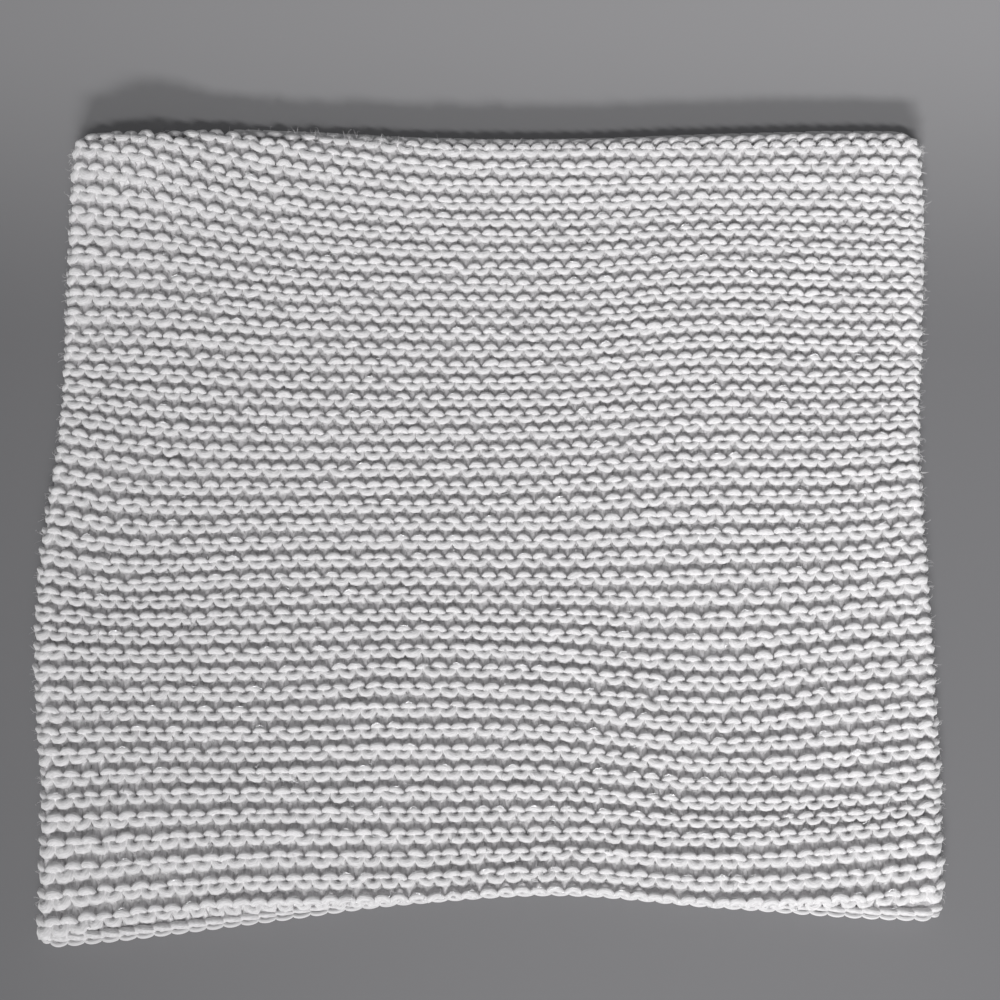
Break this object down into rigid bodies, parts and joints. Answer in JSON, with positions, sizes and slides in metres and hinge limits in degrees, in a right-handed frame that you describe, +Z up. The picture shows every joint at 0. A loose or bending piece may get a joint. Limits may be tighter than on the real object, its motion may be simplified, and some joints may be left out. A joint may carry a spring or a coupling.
{
  "type": "infinity scarf",
  "caption": "Hand-knitted garter-stitch infinity scarf: a wide tube laid flat with its front on its back, rounded side folds, wavy ridges and corded open ends.",
  "frame": {"origin": "on the floor plane under the middle of the scarf's bounding box", "axes": "+X along the courses towards the right-hand fold as seen from above, +Y from the cast-on edge to the bind-off edge, +Z up, out of the front layer"},
  "size_m": [0.3133, 0.2861, 0.016],
  "materials": {
    "yarn": "matt, softly haired pale grey wool blend with a sparse silvery thread"
  },
  "bodies": {
    "root": {"front_panel": "yarn", "back_panel": "yarn", "bind_off_edge_front": "yarn", "bind_off_edge_back": "yarn", "cast_on_edge_front": "yarn", "cast_on_edge_back": "yarn"}
  },
  "joints": []
}
